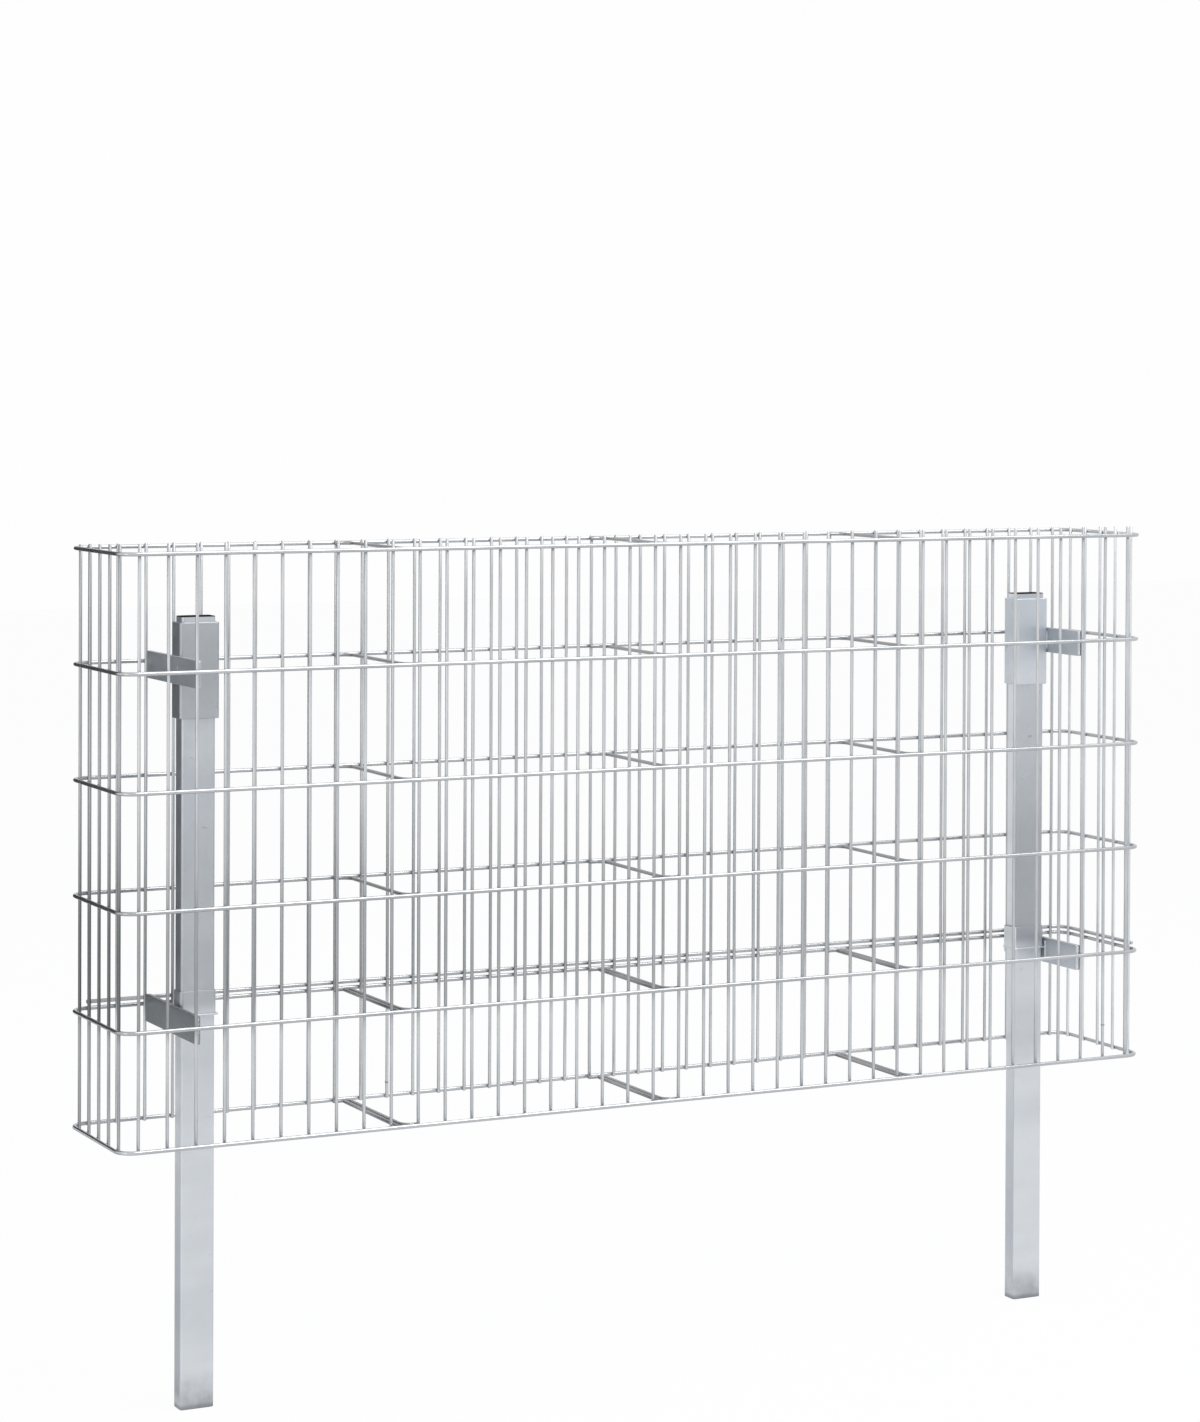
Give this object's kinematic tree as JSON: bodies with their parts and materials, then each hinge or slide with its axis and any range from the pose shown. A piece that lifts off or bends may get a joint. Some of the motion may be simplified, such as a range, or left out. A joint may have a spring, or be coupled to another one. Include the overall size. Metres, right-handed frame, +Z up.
{
  "type": "gabion wall basket",
  "caption": "Empty rectangular gabion basket of welded wire mesh, open at the top, with cross ties inside, carried by two upright tube posts that stand in the ground.",
  "frame": {"origin": "middle of the left post's foot, on the ground", "axes": "+X along the wall from the left post to the right post, +Y from the front face to the back face, +Z up"},
  "size_m": [1.212, 0.1618, 0.877],
  "materials": {
    "basket_wire": "hot-dip galvanised wire, satin",
    "post_tube": "galvanised tube, satin, lightly scuffed",
    "sleeve_tube": "galvanised tube, satin",
    "carrier_strip": "galvanised strip, matt"
  },
  "bodies": {
    "root": {"back_left_bends": "basket_wire", "back_mesh": "basket_wire", "back_right_bends": "basket_wire", "back_stiffener": "basket_wire", "cross_tie_1_1": "basket_wire", "cross_tie_1_2": "basket_wire", "cross_tie_1_3": "basket_wire", "cross_tie_1_4": "basket_wire", "cross_tie_1_5": "basket_wire", "cross_tie_1_6": "basket_wire", "cross_tie_2_1": "basket_wire", "cross_tie_2_2": "basket_wire", "cross_tie_2_3": "basket_wire", "cross_tie_2_4": "basket_wire", "cross_tie_2_5": "basket_wire", "cross_tie_2_6": "basket_wire", "cross_tie_3_1": "basket_wire", "cross_tie_3_2": "basket_wire", "cross_tie_3_3": "basket_wire", "cross_tie_3_4": "basket_wire", "cross_tie_3_5": "basket_wire", "cross_tie_3_6": "basket_wire", "front_left_bends": "basket_wire", "front_mesh": "basket_wire", "front_right_bends": "basket_wire", "left_collar": "sleeve_tube", "left_end_mesh": "basket_wire", "left_lower_carrier": "carrier_strip", "left_post": "post_tube", "left_sleeve": "sleeve_tube", "left_upper_carrier": "carrier_strip", "right_collar": "sleeve_tube", "right_end_mesh": "basket_wire", "right_lower_carrier": "carrier_strip", "right_post": "post_tube", "right_sleeve": "sleeve_tube", "right_stiffener": "basket_wire", "right_upper_carrier": "carrier_strip", "stay_1_1": "basket_wire", "stay_1_2": "basket_wire", "stay_2_1": "basket_wire", "stay_2_2": "basket_wire", "stay_3_1": "basket_wire", "stay_3_2": "basket_wire"}
  },
  "joints": []
}
